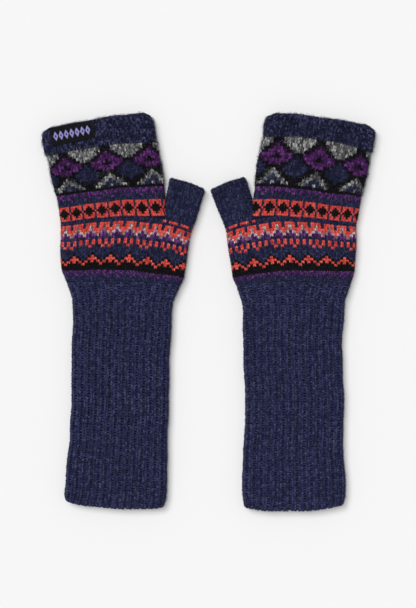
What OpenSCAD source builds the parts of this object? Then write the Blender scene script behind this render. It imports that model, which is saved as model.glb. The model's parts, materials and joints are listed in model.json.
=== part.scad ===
// A pair of long fingerless knitted gloves, lying flat side by side on their palms.
// Each glove is a flattened knitted tube: a ribbed arm, a wrist, a patterned hand with a
// thumb gusset, a short open thumb and a hemmed finger edge. +X is right, +Y points to the
// finger edges and z = 0 is the surface that the gloves lie on.

/* [Fabric] */
// Thickness of the knitted fabric
wall = 2.4; // [1.8:0.1:2.9]
// Height of a flat glove, from the surface to its top layer
flat_h = 10.8; // [10.4:0.1:14]

/* [Arm] */
// Length of the arm, from the middle of the wrist to the cast-on edge
arm_len = 178; // [120:1:260]
// Width of the arm lying flat
arm_w = 83; // [70:0.5:110]
// Width of the arm at its cast-on edge
cuff_w = 87; // [70:0.5:120]
// Length of the cast-on hem
arm_hem_len = 10; // [6:0.5:20]

/* [Hand] */
// Length from the middle of the wrist to the finger edge
hand_len = 153; // [130:1:200]
// Length of the wrist strip on the arm's side of the wrist
wrist_arm_len = 8; // [6:0.5:12]
// Length of the wrist strip on the hand's side of the wrist
wrist_hand_len = 12; // [8:0.5:14]
// Width at the wrist
wrist_w = 84; // [70:0.5:110]
// Width of the hand tube across the palm, without the gusset
palm_w = 90; // [75:0.5:115]
// Width across the knuckles
knuckle_w = 88; // [75:0.5:115]
// Width across the finger section
finger_w = 94.5; // [80:0.5:120]
// Length of the plain hem at the fingers
finger_hem_len = 20.5; // [12:0.5:30]
// Length of the diamond band
diamond_len = 40; // [30:0.5:52]
// Length of the knuckle strip that folds between the hand and the fingers
knuckle_len = 10.5; // [9:0.5:14]

/* [Thumb] */
// How far the gusset already stands out where the wrist strip ends
gusset_start = 10; // [7:0.5:14]
// How far the gusset stands out at the thumb
gusset_reach = 27.5; // [22:0.5:34]
// How far below the crotch the thumb's outer corner is
thumb_drop = 28; // [22:0.5:34]
// Length of the open thumb along its middle
thumb_len = 23.5; // [20:0.5:50]
// Width of the thumb at its open end
thumb_w = 29.3; // [24:0.5:36]
// Angle at which the thumb leans away from the hand
thumb_lean = 30; // [20:1:40]
// Length of the round of stitches that joins the thumb to the hand
thumb_join_len = 7; // [6:0.5:9]
// Length of the thumb's hem
thumb_hem_len = 6; // [4:0.5:9]

/* [Label] */
// Length of the woven label
label_w = 37; // [20:0.5:50]
// Height of the woven label
label_d = 14.5; // [8:0.5:17]
// Thickness of the label
label_t = 0.6; // [0.3:0.1:1]
// Distance of the label's middle from the middle of the glove
label_off = 21; // [0:0.5:24]
// Angle between the label and the finger edge
label_turn = 3; // [-4:0.5:4]
// Gap between the label and the finger edge
label_gap = 0.2; // [0.2:0.1:6]
// Number of sewing stitches at each end of the label
label_stitches_each = 6; // [3:1:10]

/* [Pair] */
// Distance between the middles of the two wrists
wrist_gap = 144.5; // [140:0.5:200]
// Lean of the left and the right hand away from its thumb, in degrees
hand_lean = [8.2, 8.8]; // [0:0.1:12]
// Lean of the left and the right arm the other way, in degrees
arm_lean = [1.9, 0]; // [0:0.1:4]

/* [Hidden] */
SIDES = ["left", "right"];

navy = [0.13, 0.14, 0.30];
midnight = [0.09, 0.10, 0.22];
orange = [0.90, 0.30, 0.25];
purple = [0.36, 0.16, 0.42];
grey = [0.52, 0.52, 0.54];
black = [0.07, 0.08, 0.09];
lilac = [0.70, 0.65, 0.85];

arc_steps = 6;
edge_round = 2.5;
stitch_size = [2.0, 0.6, 0.4];
stitch_from_edge = 1.4;

crotch_v = hand_len - finger_hem_len - diamond_len - knuckle_len;
diamond_v = crotch_v + knuckle_len;
hem_v = hand_len - finger_hem_len;

// Corners of the thumb in the hand's own plan frame: u across towards the thumb, v along
// the hand, with the middle of the wrist at the origin.
crotch = [knuckle_w / 2, crotch_v];
thumb_corner = crotch + [gusset_reach, -thumb_drop];
thumb_root = (crotch + thumb_corner) / 2;
thumb_tip = thumb_root + thumb_len * [sin(thumb_lean), cos(thumb_lean)];
thumb_across = thumb_w / 2 * [cos(thumb_lean), -sin(thumb_lean)];
gusset_foot = [half_width(wrist_hand_len), wrist_hand_len];
gusset_bow = gusset_foot + [gusset_start + 0.25 * (gusset_reach - gusset_start),
                            0.5 * (thumb_corner.y - wrist_hand_len)];

// Half the width of the hand tube at a distance v from the wrist
function half_width(v) = lookup(v, [
    [0, wrist_w / 2], [0.22 * crotch_v, palm_w / 2], [0.55 * crotch_v, palm_w / 2],
    [crotch_v, knuckle_w / 2], [diamond_v + 0.4 * diamond_len, finger_w / 2],
    [hem_v, finger_w / 2], [hand_len, finger_w / 2 - 0.8]]);

// Half the width of the arm at a distance d below the wrist
function arm_half_width(d) = lookup(d, [
    [0, wrist_w / 2], [0.2 * arm_len, arm_w / 2], [arm_len - 3 * arm_hem_len, arm_w / 2],
    [arm_len, cuff_w / 2]]);

function turned(p, angle) = [p.x * cos(angle) - p.y * sin(angle), p.x * sin(angle) + p.y * cos(angle)];
function between(a, b, t) = a + (b - a) * t;
function bow(a, b, c, t) = between(between(a, b, t), between(b, c, t), t);
function steps(from, to, n) = [for (i = [0 : n]) between(from, to, i / n)];

// A row is a pair of plan points: the two edges of the flattened tube at one place.
function hand_row(v, inset = 0) = [[-half_width(v) + inset, v], [half_width(v) - inset, v]];
function arm_row(d, inset = 0) = [[-arm_half_width(d) + inset, -d], [arm_half_width(d) - inset, -d]];
function thumb_row(t) = [between(crotch, thumb_tip - thumb_across, t),
                         between(thumb_corner, thumb_tip + thumb_across, t)];
function palm_row(t) = let (v = between(wrist_hand_len, crotch_v, t)) hand_row(v);
function gusset_row(t) = [palm_row(t)[1], bow(gusset_foot + [gusset_start, 0], gusset_bow, thumb_corner, t)];
function lean_row(row, angle) = [for (p = row) turned(p, angle)];
function wrist_row(g, t) =
    let (a = lean_row(arm_row(wrist_arm_len), -arm_lean[g]),
         b = lean_row([hand_row(wrist_hand_len)[0], gusset_foot + [gusset_start, 0]], hand_lean[g]))
    [between(a[0], b[0], t), between(a[1], b[1], t)];

// Rows of each section of one glove
finger_hem_rows = concat([hand_row(hem_v), hand_row(between(hem_v, hand_len, 0.5)),
                          hand_row(hand_len - edge_round)], [hand_row(hand_len, edge_round / 3)]);
diamond_rows = [for (v = steps(diamond_v, hem_v, 5)) hand_row(v)];
knuckle_rows = [for (v = steps(crotch_v, diamond_v, 2)) hand_row(v)];
palm_rows = [for (t = steps(0, 1, 8)) palm_row(t)];
gusset_rows = [for (t = steps(0, 1, 8)) gusset_row(t)];
join_t = thumb_join_len / thumb_len;
thumb_hem_t = 1 - thumb_hem_len / thumb_len;
thumb_join_rows = [for (t = steps(0, join_t, 2)) thumb_row(t)];
thumb_tube_rows = [for (t = steps(join_t, thumb_hem_t, 2)) thumb_row(t)];
thumb_hem_rows = [for (t = steps(thumb_hem_t, 1, 2)) thumb_row(t)];
rib_rows = [for (d = steps(arm_len - arm_hem_len, wrist_arm_len, 12)) arm_row(d)];
arm_hem_rows = [arm_row(arm_len, edge_round / 2), arm_row(arm_len - edge_round),
                arm_row(arm_len - arm_hem_len)];

// The pair is centred over the origin by the edges of all its rows.
function plan(g) = concat(
    [for (row = concat(finger_hem_rows, diamond_rows, gusset_rows, thumb_hem_rows))
         for (p = lean_row(row, hand_lean[g])) p],
    [for (row = concat(rib_rows, arm_hem_rows)) for (p = lean_row(row, -arm_lean[g])) p]);
left_plan = [for (p = plan(0)) [p.x - wrist_gap / 2, p.y]];
right_plan = [for (p = plan(1)) [wrist_gap / 2 - p.x, p.y]];
plan_x = [for (p = concat(left_plan, right_plan)) p.x];
plan_y = [for (p = concat(left_plan, right_plan)) p.y];
pair_shift = -[max(plan_x) + min(plan_x), max(plan_y) + min(plan_y)] / 2;

// Points of an arc in a section, as [along the row, height]
function arc(along, radius, from, to) =
    [for (i = [0 : arc_steps])
         let (a = between(from, to, i / arc_steps))
         [along + radius * cos(a), flat_h / 2 + radius * sin(a)]];

// Section of the flattened tube across a row of width w, moved in by inset. A whole section
// is a closed ring, and the other two kinds are open where palm and gusset meet.
function section(w, inset, kind) =
    let (edge = flat_h / 2, radius = edge - inset,
         far = arc(edge, radius, 90, 270), near = arc(w - edge, radius, -90, 90))
    kind == "whole" ? concat(far, near)
    : kind == "palm" ? concat([[w, flat_h - inset]], far, [[w, inset]])
    : concat([[0, inset]], near, [[0, flat_h - inset]]);

function row_points(row, inset, kind) =
    let (across = row[1] - row[0], w = norm(across))
    [for (p = section(w, inset, kind)) let (q = row[0] + across / w * p.x) [q.x, q.y, p.y]];

// A wall of knitted fabric swept through its rows
module knit(rows, kind = "whole") {
    outer = [for (row = rows) each row_points(row, 0, kind)];
    inner = [for (row = rows) each row_points(row, wall, kind)];
    n = len(section(100, 0, kind));
    last = len(rows) - 1;
    shift = len(outer);
    sides = kind == "whole" ? n - 1 : n - 2;
    function at(j, i) = j * n + i % n;
    polyhedron(concat(outer, inner), concat(
        [for (j = [0 : last - 1]) for (i = [0 : sides])
             [at(j, i), at(j, i + 1), at(j + 1, i + 1), at(j + 1, i)]],
        [for (j = [0 : last - 1]) for (i = [0 : sides])
             [shift + at(j + 1, i), shift + at(j + 1, i + 1), shift + at(j, i + 1), shift + at(j, i)]],
        [for (i = [0 : sides]) [shift + at(0, i), shift + at(0, i + 1), at(0, i + 1), at(0, i)]],
        [for (i = [0 : sides])
             [at(last, i), at(last, i + 1), shift + at(last, i + 1), shift + at(last, i)]],
        kind == "whole" ? [] : [for (j = [0 : last - 1])
             [at(j, 0), at(j + 1, 0), shift + at(j + 1, 0), shift + at(j, 0)]],
        kind == "whole" ? [] : [for (j = [0 : last - 1])
             [shift + at(j, n - 1), shift + at(j + 1, n - 1), at(j + 1, n - 1), at(j, n - 1)]]));
}

// One glove's place in the pair: the right glove is the left one mirrored.
module place(g) {
    translate([pair_shift.x + (g == 0 ? -1 : 1) * wrist_gap / 2, pair_shift.y, 0])
        if (g == 0) children();
        else mirror([1, 0, 0]) children();
}

module on_hand(g) { place(g) rotate([0, 0, hand_lean[g]]) children(); }
module on_arm(g) { place(g) rotate([0, 0, -arm_lean[g]]) children(); }

module finger_hem(g) { color(navy) on_hand(g) knit(finger_hem_rows); }
module diamond_band(g) { color(grey) on_hand(g) knit(diamond_rows); }
module knuckle_band(g) { color(purple) on_hand(g) knit(knuckle_rows); }
module palm_bands(g) { color(orange) on_hand(g) knit(palm_rows, "palm"); }
module thumb_gusset(g) { color(navy) on_hand(g) knit(gusset_rows, "gusset"); }
module thumb_join(g) { color(orange) on_hand(g) knit(thumb_join_rows); }
module thumb_tube(g) { color(navy) on_hand(g) knit(thumb_tube_rows); }
module thumb_hem(g) { color(midnight) on_hand(g) knit(thumb_hem_rows); }
module wrist_band(g) { color(black) place(g) knit([for (t = steps(0, 1, 4)) wrist_row(g, t)]); }
module arm_rib(g) { color(midnight) on_arm(g) knit(rib_rows); }
module arm_hem(g) { color(navy) on_arm(g) knit(arm_hem_rows); }

// The label's top corner stays label_gap inside the finger edge when the label is turned.
module on_label() {
    label_rise = label_w / 2 * abs(sin(label_turn)) + label_d / 2 * cos(label_turn);
    on_hand(0) translate([-label_off, hand_len - label_gap - label_rise, flat_h])
        rotate([0, 0, label_turn]) children();
}

module label() {
    color(black) on_label() translate([-label_w / 2, -label_d / 2, 0]) cube([label_w, label_d, label_t]);
}

module label_stitches() {
    pitch = label_d / label_stitches_each;
    color(lilac) on_label()
        for (end = [-1, 1]) for (i = [0 : label_stitches_each - 1])
            translate([end * (label_w / 2 - stitch_from_edge), (i + 0.5) * pitch - label_d / 2,
                       label_t + stitch_size.z / 2])
                cube(stitch_size, center = true);
}

for (g = [0, 1]) {
    finger_hem(g);
    diamond_band(g);
    knuckle_band(g);
    palm_bands(g);
    thumb_gusset(g);
    thumb_join(g);
    thumb_tube(g);
    thumb_hem(g);
    wrist_band(g);
    arm_rib(g);
    arm_hem(g);
}
label();  // left_label
label_stitches();  // left_label_stitches
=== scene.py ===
# %% [markdown]
# # A pair of long fingerless knitted gloves
# The gloves lie flat on a pale table, palms down. Everything here is knitting: each stitch is a
# pair of short plump legs of yarn, so the looks are built stitch by stitch on a flattened tube,
# and the colour bands come from knitting charts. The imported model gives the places, and the
# joints that fold each glove at the wrist, the knuckles and the thumb.

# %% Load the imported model
import json
import math

import bpy
import numpy as np
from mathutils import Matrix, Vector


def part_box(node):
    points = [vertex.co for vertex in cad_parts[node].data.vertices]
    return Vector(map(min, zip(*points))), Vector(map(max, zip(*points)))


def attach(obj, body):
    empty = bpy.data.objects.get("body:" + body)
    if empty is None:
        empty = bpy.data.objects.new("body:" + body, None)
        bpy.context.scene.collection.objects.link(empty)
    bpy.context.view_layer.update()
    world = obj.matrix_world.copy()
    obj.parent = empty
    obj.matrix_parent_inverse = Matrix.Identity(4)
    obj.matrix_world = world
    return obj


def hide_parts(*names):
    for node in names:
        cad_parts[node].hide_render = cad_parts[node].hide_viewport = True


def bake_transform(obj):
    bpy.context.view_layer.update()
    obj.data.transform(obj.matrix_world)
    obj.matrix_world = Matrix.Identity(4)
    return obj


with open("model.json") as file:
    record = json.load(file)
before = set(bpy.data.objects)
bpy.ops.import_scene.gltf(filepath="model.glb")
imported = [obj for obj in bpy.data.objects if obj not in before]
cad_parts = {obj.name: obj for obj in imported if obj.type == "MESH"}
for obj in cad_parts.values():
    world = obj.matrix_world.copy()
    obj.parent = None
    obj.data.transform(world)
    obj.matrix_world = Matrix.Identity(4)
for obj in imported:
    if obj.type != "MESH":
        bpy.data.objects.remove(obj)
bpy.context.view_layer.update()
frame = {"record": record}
MM = 0.001
SIDES = ("left", "right")
rng = np.random.default_rng(11)

# %% [markdown]
# The camera looks straight down. A short lens, close by, would also show the sides of the gloves,
# so a long lens far off is used. Its height and lens frame 354 mm by 517 mm of table.

# %% Camera
SENSOR = 36
VIEW_LENGTH = 0.5168
VIEW_MIDDLE = (0.0004, 0.0072)
CAMERA_HEIGHT = 2.2
camera_data = bpy.data.cameras.new("camera")
camera_data.lens = SENSOR * CAMERA_HEIGHT / VIEW_LENGTH
camera = bpy.data.objects.new("camera", camera_data)
camera.location = (*VIEW_MIDDLE, CAMERA_HEIGHT)
bpy.context.scene.collection.objects.link(camera)
bpy.context.scene.camera = camera
print("lens", round(camera_data.lens, 1), "mm")

# %% [markdown]
# The light is a studio's: pale walls all round, a wide lamp high on the upper left, which gives
# the thin soft shadow on the lower right, and a narrower lamp nearly overhead. A sun lamp with a
# wide disc keeps its shadow equally soft all over the table. Standard colour keeps the table white.

# %% Light
WALL_LIGHT = 0.30
# Each lamp's name, its strength, and the width of its disc and its tilt in degrees.
LAMPS = (("wide_lamp", 1.40, 30, (-20, -24)), ("top_lamp", 0.95, 12, (-5, -6)))
scene = bpy.context.scene
scene.view_settings.view_transform = "Standard"
world = bpy.data.worlds.new("studio")
world.use_nodes = True
room = world.node_tree.nodes["Background"].inputs
room["Color"].default_value = (1.0, 1.0, 1.0, 1)
room["Strength"].default_value = WALL_LIGHT
scene.world = world
for name, energy, disc, tilt in LAMPS:
    lamp_data = bpy.data.lights.new(name, "SUN")
    lamp_data.energy = energy
    lamp_data.angle = math.radians(disc)
    lamp = bpy.data.objects.new(name, lamp_data)
    lamp.rotation_euler = (math.radians(tilt[0]), math.radians(tilt[1]), 0)
    scene.collection.objects.link(lamp)
print("lamps", ", ".join(name for name, *_ in LAMPS), "and pale walls")

# %% [markdown]
# Shader maths is easier to read as plain expressions. `Socket` wraps one output of a node, and
# adding or multiplying two of them adds the Math node. `Paint` is one material: its `node`
# method makes any other node from a type, its settings and its inputs.

# %% Shader helpers
class Socket:
    def __init__(self, paint, link):
        self.paint, self.link = paint, link

    def _maths(self, operation, a, b):
        return self.paint.node("ShaderNodeMath", {"operation": operation}, {0: a, 1: b})

    def __add__(self, other):
        return self._maths("ADD", self, other)

    def __sub__(self, other):
        return self._maths("SUBTRACT", self, other)

    def __rsub__(self, other):
        return self._maths("SUBTRACT", other, self)

    def __mul__(self, other):
        return self._maths("MULTIPLY", self, other)

    __radd__ = __add__
    __rmul__ = __mul__


class Paint:
    def __init__(self, name):
        self.material = bpy.data.materials.new(name)
        self.material.use_nodes = True
        self.tree = self.material.node_tree
        self.surface = self.tree.nodes["Principled BSDF"]

    def put(self, target, value):
        if isinstance(value, Socket):
            self.tree.links.new(value.link, target)
        elif hasattr(value, "__len__") and len(value) == 3 and target.type == "RGBA":
            target.default_value = (*value, 1)
        else:
            target.default_value = value

    def node(self, kind, settings=None, inputs=None, out=0):
        made = self.tree.nodes.new(kind)
        for key, value in (settings or {}).items():
            setattr(made, key, value)
        for key, value in (inputs or {}).items():
            self.put(made.inputs[key], value)
        return Socket(self, made.outputs[out])

    def blend(self, share, a, b, way="MIX"):
        settings = {"data_type": "RGBA", "blend_type": way}
        return self.node("ShaderNodeMix", settings, {0: share, 6: a, 7: b}, 2)

    def ramp(self, value, low, high):
        settings = {"interpolation_type": "SMOOTHSTEP"}
        return self.node("ShaderNodeMapRange", settings, {0: value, 1: low, 2: high})

    def finish(self, **inputs):
        for key, value in inputs.items():
            self.put(self.surface.inputs[key.replace("_", " ")], value)
        return self.material


def linear(c):
    return c / 255 / 12.92 if c <= 10 else ((c / 255 + 0.055) / 1.055) ** 2.4


def srgb(r, g, b):
    """A colour as it is read off a screen, in the linear numbers that a shader wants."""
    return linear(r), linear(g), linear(b)


# %% [markdown]
# ## Wool
# The yarn is a woollen one, spun from dyed fleece: every colour has lighter and darker fibres
# in it (a heather), a faint twist, and no shine beyond the soft glow of loose fibre. Each leg of
# each stitch carries its own map in millimetres, so the noise can be stretched along the yarn
# and the twist can run round it. A second map gives each leg its own number, which shifts its
# shade a little, as no two stitches catch the dye alike.

# %% Wool
GLOW, BLACK_GLOW = 0.06, 0.02


def wool(name, shades, spread, glow):
    """Yarn of three shades, dark to light. spread is how far the mix strays from the middle one."""
    p = Paint(name)
    yarn = p.node("ShaderNodeUVMap", {"uv_map": "Yarn"})
    leg = p.node("ShaderNodeUVMap", {"uv_map": "Leg"})
    stretched = p.node("ShaderNodeVectorMath", {"operation": "MULTIPLY"},
                       {0: yarn, 1: (2.6, 0.9, 1)})
    fibre = p.node("ShaderNodeTexNoise", {},
                   {"Vector": stretched, "Scale": 2.0, "Detail": 4.0, "Roughness": 0.75})
    tuft = p.node("ShaderNodeTexNoise", {}, {"Vector": yarn, "Scale": 0.9, "Detail": 2.0})
    number = p.node("ShaderNodeSeparateXYZ", {}, {0: leg})
    mix = fibre * 0.55 + tuft * 0.45 + (number - 0.5) * spread
    dark, middle, light = shades
    lower = p.blend(p.ramp(mix, 0.40 - spread * 0.2, 0.50), dark, middle)
    final = p.blend(p.ramp(mix, 0.51, 0.66 + spread * 0.1), lower, light)
    turn = p.node("ShaderNodeVectorMath", {"operation": "DOT_PRODUCT"},
                  {0: yarn, 1: (1.15, 1.0, 0)}, 1)
    ply = p.node("ShaderNodeMath", {"operation": "SINE"}, {0: turn * 5.2})
    height = fibre * 0.8 + ply * 0.2
    bump = p.node("ShaderNodeBump", {}, {"Strength": 0.6, "Distance": 0.0004, "Height": height})
    roughness = fibre * 0.2 + 0.78
    return p.finish(Base_Color=final, Roughness=roughness, Normal=bump, Sheen_Weight=glow,
                    Sheen_Roughness=0.45, Specular_IOR_Level=0.12)


# Each yarn's letter in the charts, its name, its dark, middle and light shades, and its spread.
FLEECES = (
    ("n", "navy_wool", (15, 17, 38), (33, 36, 71), (84, 87, 128), 0.18),
    ("b", "brushed_navy_wool", (10, 12, 30), (29, 32, 65), (88, 91, 134), 0.34),
    ("r", "ribbed_navy_wool", (20, 22, 48), (42, 45, 83), (90, 94, 132), 0.14),
    ("k", "black_wool", (10, 10, 11), (16, 16, 18), (40, 40, 50), 0.16),
    ("o", "orange_wool", (176, 46, 42), (236, 82, 72), (255, 142, 130), 0.20),
    ("p", "purple_wool", (40, 18, 54), (90, 38, 108), (144, 78, 162), 0.34),
    ("g", "grey_wool", (34, 34, 38), (116, 116, 120), (222, 222, 220), 0.34),
    ("l", "light_grey_wool", (104, 84, 96), (182, 156, 164), (236, 226, 228), 0.30),
    # c is not a chart yarn: it colours the skin and lining, a navy darkened as painted shade for
    # the gaps between and under the stitches.
    ("c", "shadowed_wool", (14, 14, 30), (20, 20, 44), (30, 30, 60), 0.16),
)
YARNS = {}
for letter, name, *shades, spread in FLEECES:
    glow = BLACK_GLOW if letter == "k" else GLOW
    YARNS[letter] = wool(name, [srgb(*shade) for shade in shades], spread, glow)
print("yarns", ", ".join(m.name for m in YARNS.values()))

# %% [markdown]
# ## Where each glove lies
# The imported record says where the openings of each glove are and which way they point. The
# middle line of the hand and the middle line of the arm cross at the wrist, which is the origin
# of the glove's own plan: u runs across the hand towards the thumb and v along it towards the
# fingers, in millimetres. The right glove is the left one mirrored, so its u runs the other way.

# %% Glove plans
def unit(v):
    v = np.array(v[:2], float)
    return v / np.hypot(*v)


class Glove:
    def __init__(self, side):
        mounts = {m["name"]: m for m in frame["record"]["mounts"]}
        finger, arm, thumb = (mounts[f"{side}_{end}_opening"] for end in ("finger", "arm", "thumb"))
        ends = [np.array(m["pos_m"][:2]) / MM for m in (finger, arm, thumb)]
        self.side = side
        self.along, self.arm_along = unit(finger["axis"]), -unit(arm["axis"])
        steps = np.linalg.solve(np.c_[self.along, -self.arm_along], ends[0] - ends[1])
        self.wrist = ends[0] - steps[0] * self.along
        self.hand_length, self.arm_length = steps[0], -steps[1]
        right = np.array((self.along[1], -self.along[0]))
        self.sign = 1 if (ends[2] - self.wrist) @ right > 0 else -1
        self.across = self.sign * right
        self.arm_across = self.sign * np.array((self.arm_along[1], -self.arm_along[0]))

    def place(self, plan, on_arm=False):
        """Plan points (u, v) as points on the table, in mm."""
        across, along = (self.arm_across, self.arm_along) if on_arm else (self.across, self.along)
        return self.wrist + plan[:, :1] * across + plan[:, 1:] * along

    def arm_plan(self, plan):
        """Points of the hand's plan in the arm's plan."""
        out = self.place(np.array(plan, float)) - self.wrist
        return np.c_[out @ self.arm_across, out @ self.arm_along]


GLOVES = {side: Glove(side) for side in SIDES}
for g in GLOVES.values():
    lengths = round(g.hand_length, 1), round(g.arm_length, 1)
    print(g.side, "wrist", g.wrist.round(1), "hand and arm", *lengths)

# %% [markdown]
# ## Rows of knitting
# Knitting is made in rows, and a flat glove shows them as gentle curves. A row is four points of
# the plan: its two edges and two handles between them, a cubic curve. Rows are numbered from the
# diamond band's top down to the wrist, and the hem above it has negative numbers. Only the rows
# where the outline changes are listed, and those between are blended. The palm's rows dip towards
# the thumb, because the stitches there are pulled out sideways.

# %% Row shapes
def straight(left, right):
    left, right = np.array(left, float), np.array(right, float)
    return [left + (right - left) * t for t in (0, 1 / 3, 2 / 3, 1)]


HAND_ROWS = {
    -10: [(-43.0, 151.6), (-15, 153.8), (18, 154.0), (44.2, 151.6)],
    -9.2: [(-45.8, 150.0), (-15, 152.0), (18, 152.2), (46.9, 149.8)],
    -8: [(-47.2, 147.0), (-15, 149.2), (18, 149.4), (48.4, 146.6)],
    -5: [(-47.4, 140.3), (-15, 143.4), (18, 143.2), (48.9, 139.8)],
    -0.5: [(-46.3, 130.2), (-15, 133.8), (18, 132.8), (48.6, 129.0)],
    0: [(-44.8, 128.9), (-15, 132.6), (18, 131.6), (49.4, 127.6)],
    9: [(-44.2, 110.0), (-15, 110.8), (18, 110.3), (50.9, 107.8)],
    16: [(-42.7, 94.8), (-13, 94.6), (18, 94.2), (49.7, 90.2)],
    20: [(-42.3, 84.6), (-14, 85), (17, 84.1), (49.2, 79.3)],
    25: [(-41.8, 72.7), (-15, 72.6), (14, 70.6), (47.8, 65.4)],
}
PALM_ROWS = {
    25: [(-41.8, 72.9), (-5, 73.4), (40, 69.6), (68.6, 51.5)],
    27: [(-42.2, 69), (-6, 69.2), (39, 65.4), (66.6, 47.6)],
    36: [(-45.4, 49), (-10, 48.2), (30, 43.5), (60.6, 28.5)],
    45: [(-46.4, 31.9), (-15, 28.6), (22, 23), (55.6, 11)],
    49: [(-44.6, 22.3), (-13, 18.4), (19, 14.0), (52.4, 5.8)],
}
THUMB_ROWS = {
    -12: [(54.6, 95.6), (64.0, 91.9), (74.0, 86.6), (82.6, 79.9)],
    -6: [(49.0, 79.9), (58.7, 77.6), (68.8, 72.4), (76.3, 66.6)],
    -3: [(46.4, 71.4), (55.2, 69.4), (64.3, 65.0), (72.4, 59.0)],
    0: [(45.6, 62.0), (54.0, 59.2), (61.7, 55.8), (68.6, 51.5)],
}
# The row where each band starts, from the fingers to the arm's end.
DIAMOND_ROW, TICK_ROW, CROSS_ROW, PALM_ROW, WRIST_TICK_ROW, WRIST_ROW = 0, 16, 20, 25, 45, 49
RIB_ROW, RIB_MIDDLE, ARM_HEM_ROW, LAST_ROW = 62, 97, 132, 137
# The rows where the finger hem and the thumb turn over.
HEM_EDGE, THUMB_EDGE = -10, -12
# How far the right glove's two edges lie from the mirrored left ones, by row.
RIGHT_EDGES = {-10: (-1.2, -1.8), -5: (-1.5, -2.0), 0: (-2.8, -3.4), 9: (-3.0, -4.0),
               16: (-2.0, -3.4), 20: (-2.0, -2.8), 25: (-2.5, -3.0), 45: (-2.8, -3.0),
               WRIST_ROW: (-2.7, -3.0)}
# How much higher the four points of the right glove's rows lie: its diamond band is taller.
RIGHT_RISE = {-10: (2.5, 2.4, 2.0, 0.6), -8: (2.4, 2.4, 2.0, 0.6), -5: (3.2, 4.8, 4.8, 2.4),
              -0.5: (4.2, 7.0, 8.0, 4.0), 0: (4.2, 7.0, 8.0, 4.0), 9: (1.6, 2.8, 3.4, 1.6),
              16: (0, 0, 0, 0)}
LEVEL = {0: (0, 0, 0, 0)}
# How far the right thumb's two edges lie from the mirrored left ones.
RIGHT_THUMB = {-12: (-0.6, -0.4), -6: (-2.4, -1.7), 0: (-3.0, -3.0)}
# Straight rows of the arm: how far along it each lies, and its reach to the left and the right.
ARM_EDGES = {
    "left": {56: (0, 42.3, 43.4), 60: (-9, 41.6, 43.1), 66: (-20, 40.8, 43.4),
             85: (-61, 40.4, 42.6), 110: (-120, 40.0, 43.4), 124: (-148.5, 42.5, 44.0),
             132: (-166, 43.4, 43.3)},
    "right": {56: (0, 45.4, 43.6), 60: (-9, 44.4, 42.2), 72: (-35, 43.0, 41.4),
              98: (-93, 44.1, 40.0), 110: (-120, 43.7, 40.6), 124: (-148.5, 45.4, 42.6),
              132: (-166, 45.6, 42.6)},
}
ARM_END = {"left": [(-41.8, -171.0), (-22, -175.6), (20, -177.4), (41.6, -172.6)],
           "right": [(-43.4, -172.4), (-22, -178.0), (20, -179.4), (41.0, -174.2)]}


def between(table, row, i):
    """The table's number i at a row, blended between the rows that it lists."""
    listed = sorted(table)
    return np.interp(row, listed, [table[k][i] for k in listed])


def moved(rows, edges, rise):
    """Rows with their ends moved sideways, the points between in proportion, and all raised."""
    out = {}
    for row, points in rows.items():
        up = [between(rise, row, i) for i in range(4)]
        left, right = between(edges, row, 0), between(edges, row, 1)
        span = points[-1][0] - points[0][0]
        out[row] = [(u + left + (right - left) * (u - points[0][0]) / span, v + higher)
                    for (u, v), higher in zip(points, up)]
    return out


def rows_of(side):
    """The hand's, palm's and thumb's rows of one glove."""
    if side == "left":
        return HAND_ROWS, PALM_ROWS, THUMB_ROWS
    return (moved(HAND_ROWS, RIGHT_EDGES, RIGHT_RISE), moved(PALM_ROWS, RIGHT_EDGES, LEVEL),
            moved(THUMB_ROWS, RIGHT_THUMB, LEVEL))


def arm_rows(glove):
    """The arm's rows, from the palm's last one to the arm's end."""
    side = glove.side
    first = glove.arm_plan(rows_of(side)[1][WRIST_ROW])
    rows = {row: straight((-left, v), (right, v))
            for row, (v, left, right) in ARM_EDGES[side].items()}
    return {WRIST_ROW: first, **rows, LAST_ROW: ARM_END[side]}


print("listed rows of hand, palm and thumb:", len(HAND_ROWS), len(PALM_ROWS), len(THUMB_ROWS))

# %% [markdown]
# ## The flattened tube
# `Tube` turns a place in the knitting (which column, which row, how high above the fabric) into
# a point in space. Each face of the tube is flat in the middle and rolls over at both creases.
# At an opening the fabric turns over on itself and runs back inside, as a hem does. The whole
# cloth wanders by a fraction of a millimetre, because nothing knitted lies dead straight.

# %% Tube
# In mm: the flat glove's height, how far in from its outline the middle of the yarn lies, the
# radius that a hem turns over, and how far a crease rolls.
HEIGHT = 10.6
SINK = 0.85
FOLD = 1.05
EASE = HEIGHT / 2 - SINK
# Rows that a tube runs on past its ends, and rows below an edge over which its peek fades.
BEYOND, PEEK_ROWS = 4, 9
# Rows that are knitted past a hem's edge and run back inside, and how many of them grow hairs.
TURNED, FUZZY = 9, 2


def wander(plan, rise):
    """Slow waves in plan and in height, the same for every piece."""
    x, y = plan[:, 0], plan[:, 1]
    dx = 0.35 * np.sin(y / 13 + 1) + 0.2 * np.sin(y / 5.3 + x / 40)
    dy = 0.3 * np.sin(x / 11 + 2) + 0.22 * np.sin(x / 5.1 + y / 30)
    dz = 0.22 * np.sin(x / 9 + y / 17) + 0.16 * np.sin(y / 6.5 - x / 14 + 2)
    return plan + np.c_[dx, dy], dz * rise


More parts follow.
